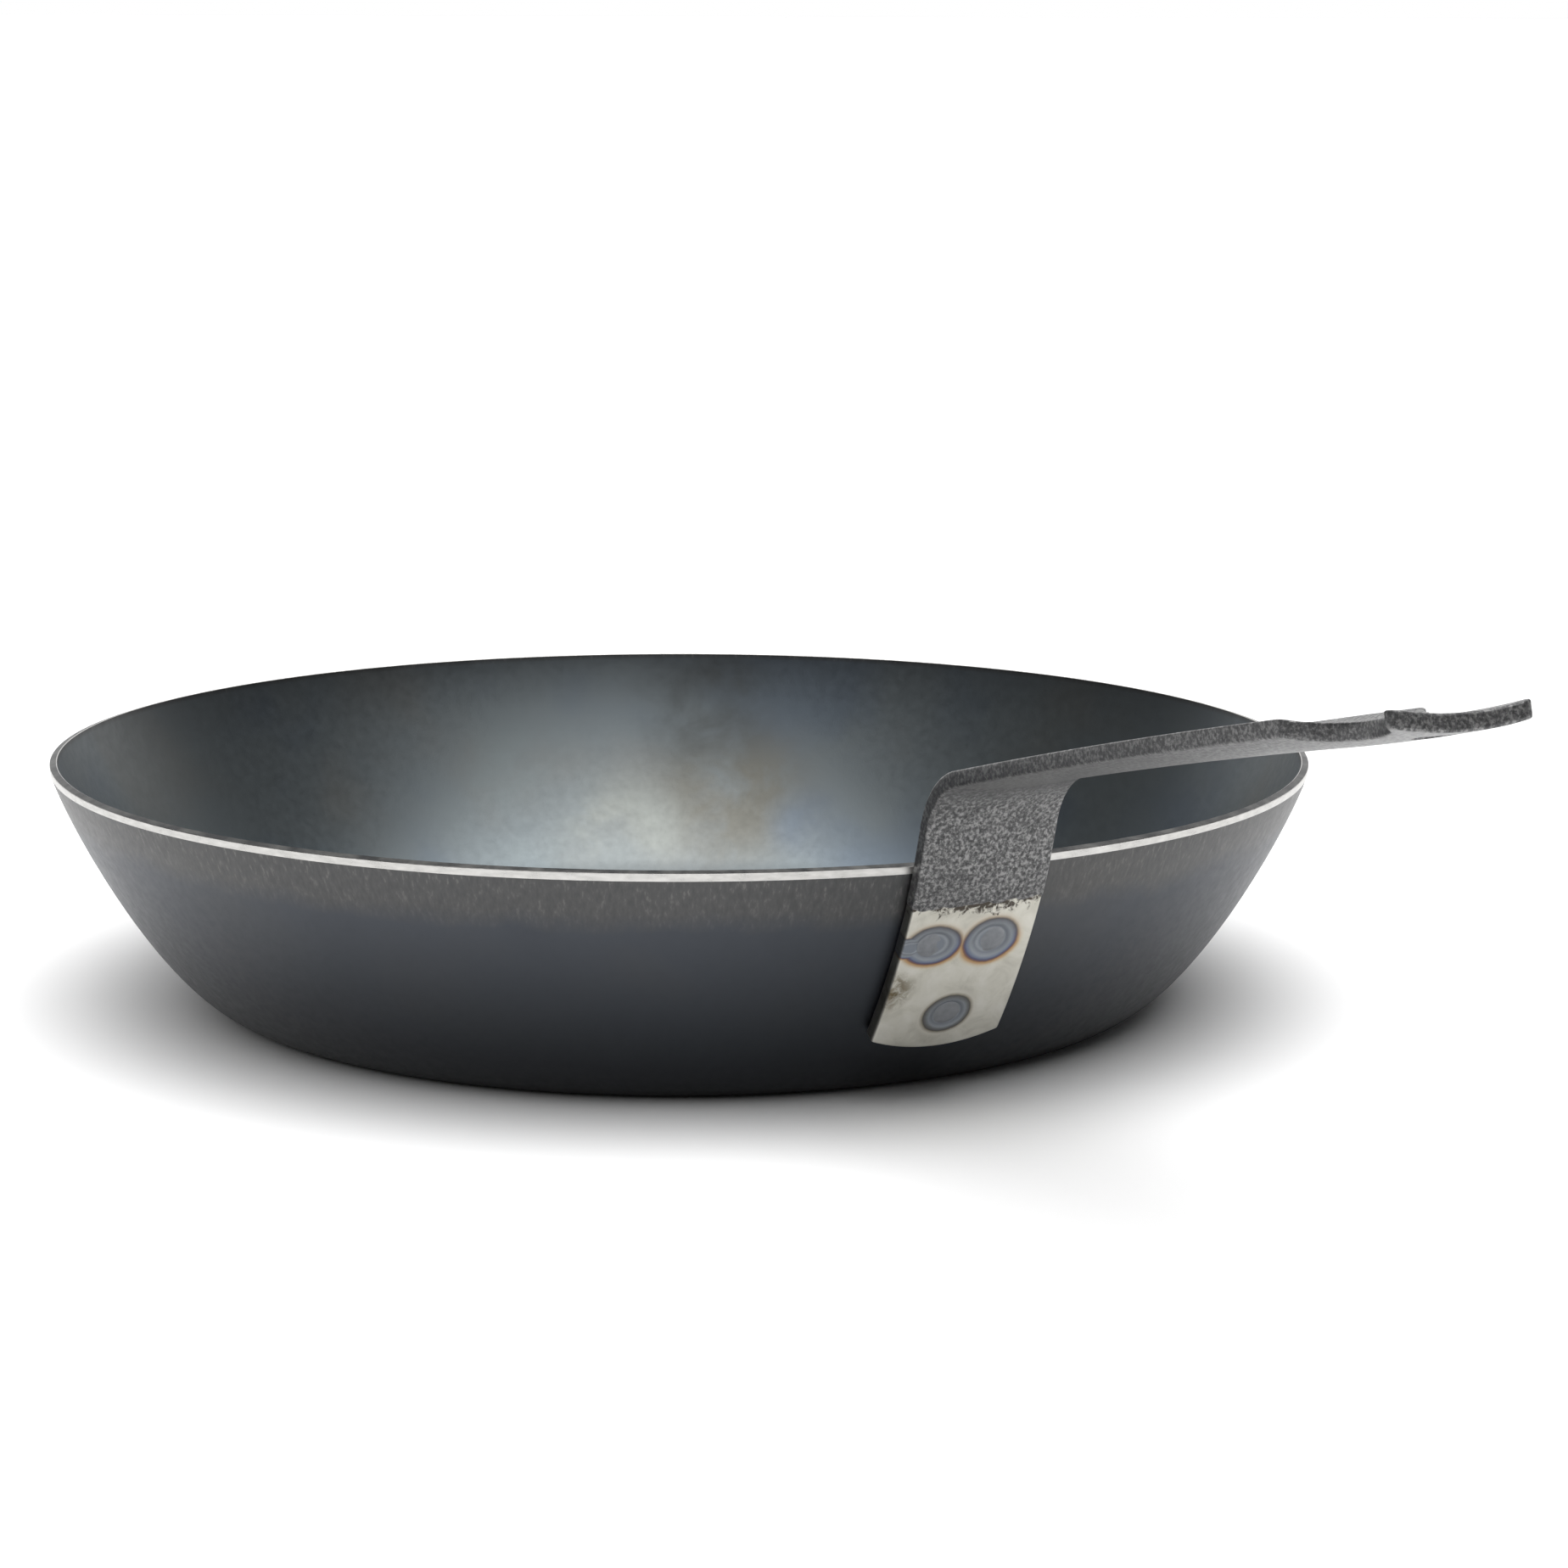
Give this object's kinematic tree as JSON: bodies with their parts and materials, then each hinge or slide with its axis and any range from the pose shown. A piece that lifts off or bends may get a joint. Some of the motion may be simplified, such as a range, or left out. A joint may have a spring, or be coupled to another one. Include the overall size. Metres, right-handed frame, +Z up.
{
  "type": "carbon steel pan",
  "caption": "Shallow round pan of blued steel with flared walls, a flat base and a coated strap handle spot-welded to the outside, ending in a hanging hole.",
  "frame": {"origin": "centre of the flat base's underside, on the pan's axis", "axes": "+X along the handle, away from the pan; +Z up, along the pan's axis; the handle is centred on Y = 0"},
  "size_m": [0.4411, 0.2794, 0.1091],
  "materials": {
    "blued_steel": "heat-blued carbon steel, satin, with a ground bright rim",
    "hammertone_coating": "grey hammertone epoxy on steel strip, speckled",
    "bare_steel": "bare rolled steel with light stains, where the coating stops above the welds",
    "weld_steel": "spot-weld metal with blue and straw heat tint"
  },
  "bodies": {
    "root": {"pan_body": "blued_steel", "strap_handle": "hammertone_coating", "weld_nugget_upper_left": "weld_steel", "weld_nugget_upper_right": "weld_steel", "weld_nugget_lower": "weld_steel"}
  },
  "joints": []
}
